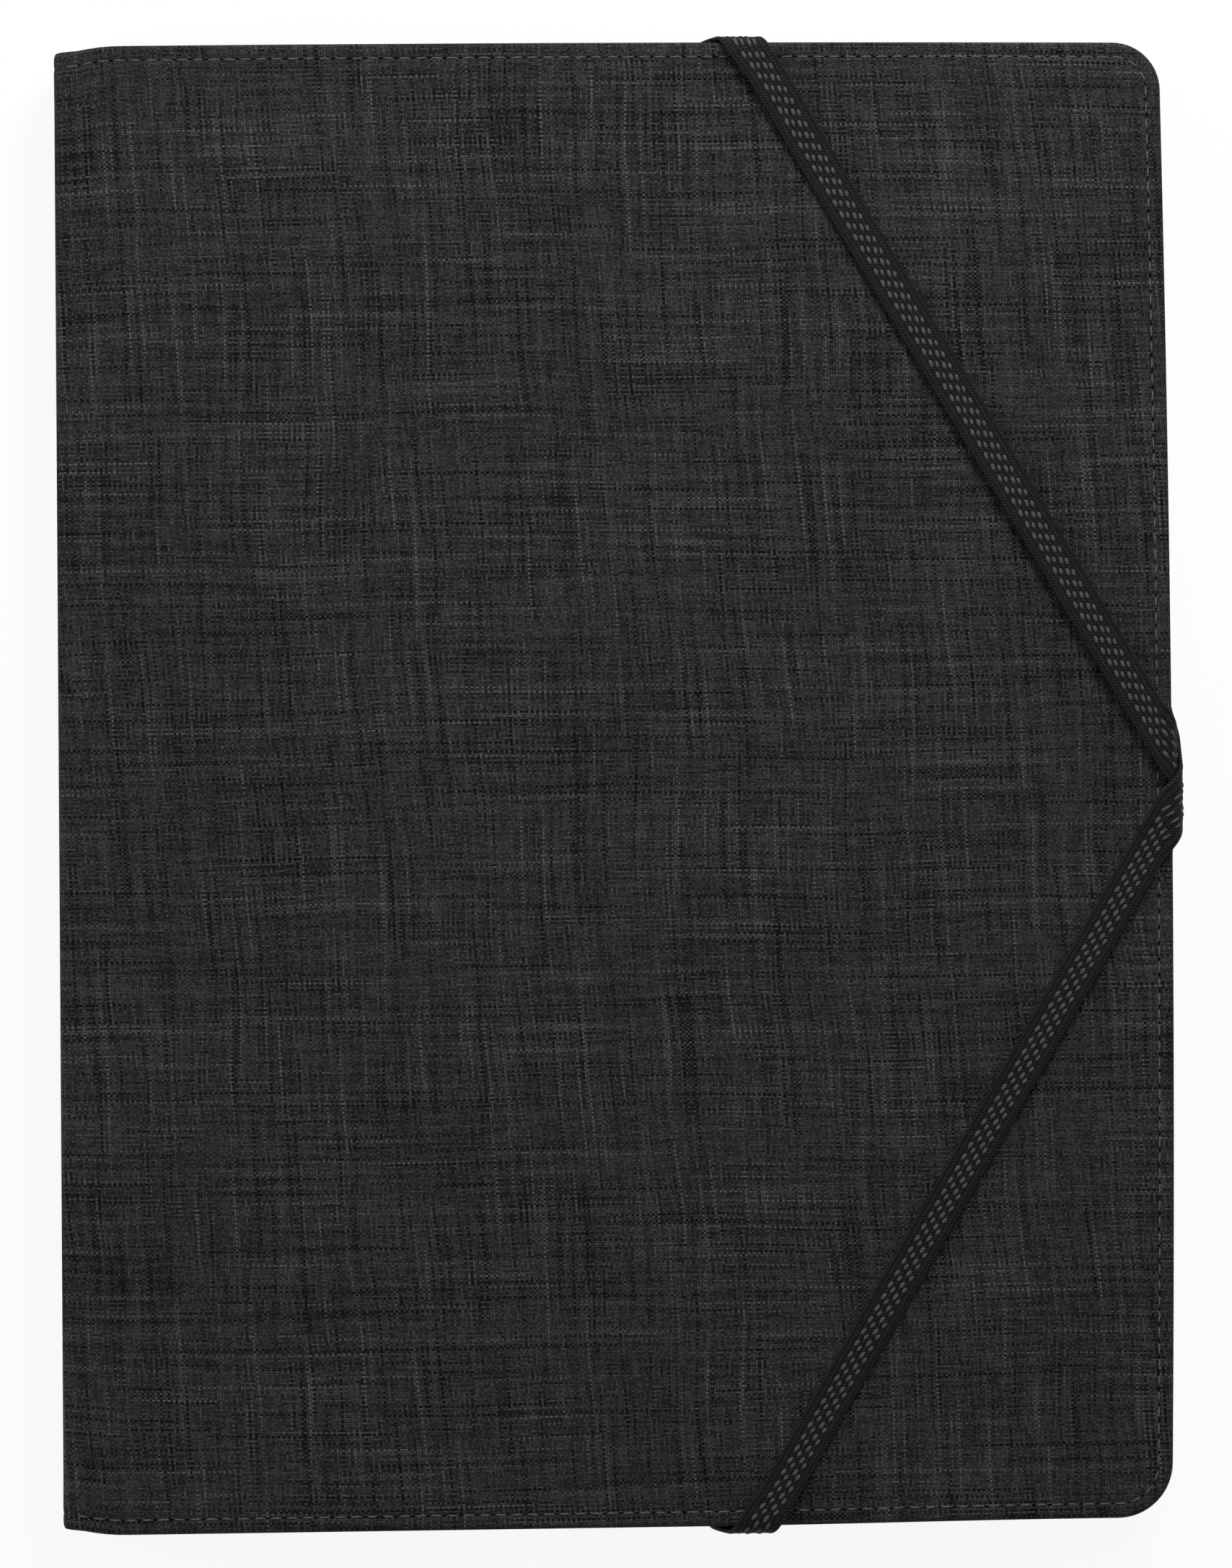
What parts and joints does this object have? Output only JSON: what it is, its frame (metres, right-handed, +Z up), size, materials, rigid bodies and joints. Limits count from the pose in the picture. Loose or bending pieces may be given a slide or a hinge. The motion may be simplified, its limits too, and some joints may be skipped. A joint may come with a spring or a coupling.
{
  "type": "padfolio",
  "caption": "Closed fabric padfolio with boards, a soft spine, a writing pad in a sleeve, a pen loop, front pockets and a crossed elastic band that closes it.",
  "frame": {"origin": "middle of the closed folder's footprint, on the surface that it lies on", "axes": "+Z up out of the front cover, +X from the spine to the fore edge, +Y to the top edge"},
  "size_m": [0.2424, 0.3224, 0.0203],
  "materials": {
    "outer_fabric": "heathered charcoal plain weave, matt",
    "lining": "dark smooth lining cloth",
    "board": "grey board",
    "paper": "plain white writing paper",
    "card": "grey-brown chipboard",
    "tape": "black binding cloth tape",
    "elastic": "black woven elastic with raised grey dashes",
    "thread": "grey sewing thread"
  },
  "bodies": {
    "back": {"back_cover_fabric": "outer_fabric", "back_cover_board": "board", "back_cover_lining": "lining", "pad_backing_card": "card", "pad_sleeve": "lining", "pad_pages": "paper", "pad_binding_tape": "tape", "pen_loop": "elastic", "elastic_band": "elastic"},
    "spine": {"spine_fabric": "outer_fabric", "spine_lining": "lining"},
    "front": {"front_cover_fabric": "outer_fabric", "front_cover_board": "board", "front_cover_lining": "lining", "document_pocket": "lining", "card_pocket_1": "lining", "card_pocket_2": "lining", "card_pocket_3": "lining"}
  },
  "joints": [
    {"name": "spine_hinge", "type": "hinge", "parent": "back", "child": "spine", "pos_m": [-0.1212, 0, 0.0012], "axis": [0, -1, 0], "range_deg": [0, 90], "deforming": ["elastic_band"]},
    {"name": "cover_hinge", "type": "hinge", "parent": "spine", "child": "front", "pos_m": [-0.1212, 0, 0.0179], "axis": [0, -1, 0], "range_deg": [0, 90]}
  ],
  "couplings": [
    {"joint": "cover_hinge", "follows": "spine_hinge", "ratio": 1}
  ]
}
